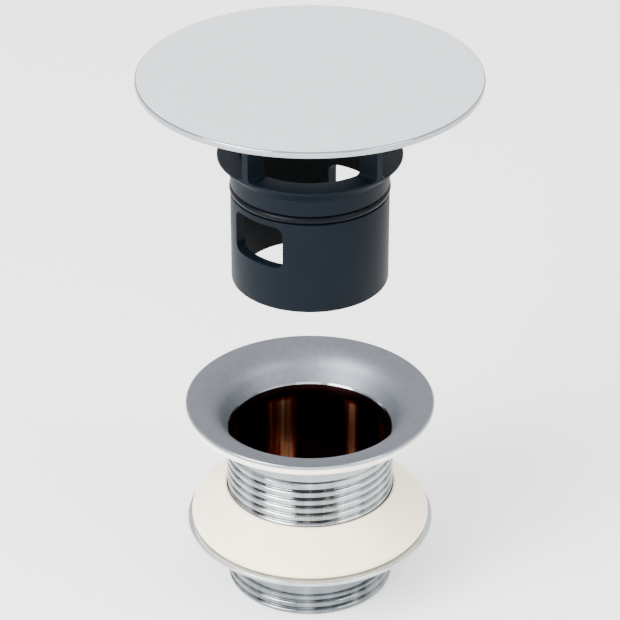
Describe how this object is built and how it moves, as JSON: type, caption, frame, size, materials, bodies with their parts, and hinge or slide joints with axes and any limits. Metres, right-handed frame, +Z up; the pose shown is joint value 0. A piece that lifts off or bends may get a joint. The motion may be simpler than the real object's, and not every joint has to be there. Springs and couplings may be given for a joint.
{
  "type": "basin waste",
  "caption": "Free-flow basin waste: dished chrome flange on a threaded tail with seal, cone gasket and ring nut, and a lift-out caged insert under a flat cover.",
  "frame": {"origin": "on the axis, in the plane of the basin that the flange seal rests on", "axes": "+Z up along the axis, from the tail to the cover; the insert's blades lie on the diagonals between X and Y"},
  "size_m": [0.0814, 0.0814, 0.1399],
  "materials": {
    "chromed_brass": "bright chrome plate on brass",
    "seal_rubber": "matt cream rubber",
    "gasket_rubber": "matt ivory rubber",
    "chromed_nut": "bright chrome plate on brass",
    "cage_plastic": "moulded dark slate plastic",
    "ring_rubber": "black rubber",
    "satin_chrome": "satin chrome plate"
  },
  "bodies": {
    "waste": {"waste_body": "chromed_brass", "flange_seal": "seal_rubber", "cone_gasket": "gasket_rubber", "back_nut": "chromed_nut"},
    "insert": {"insert_cage": "cage_plastic", "insert_o_ring": "ring_rubber", "cover_disc": "satin_chrome"}
  },
  "joints": [
    {"name": "cover_lift", "type": "slide", "parent": "waste", "child": "insert", "axis": [0, 0, 1], "range_m": [-0.072, 0]}
  ]
}
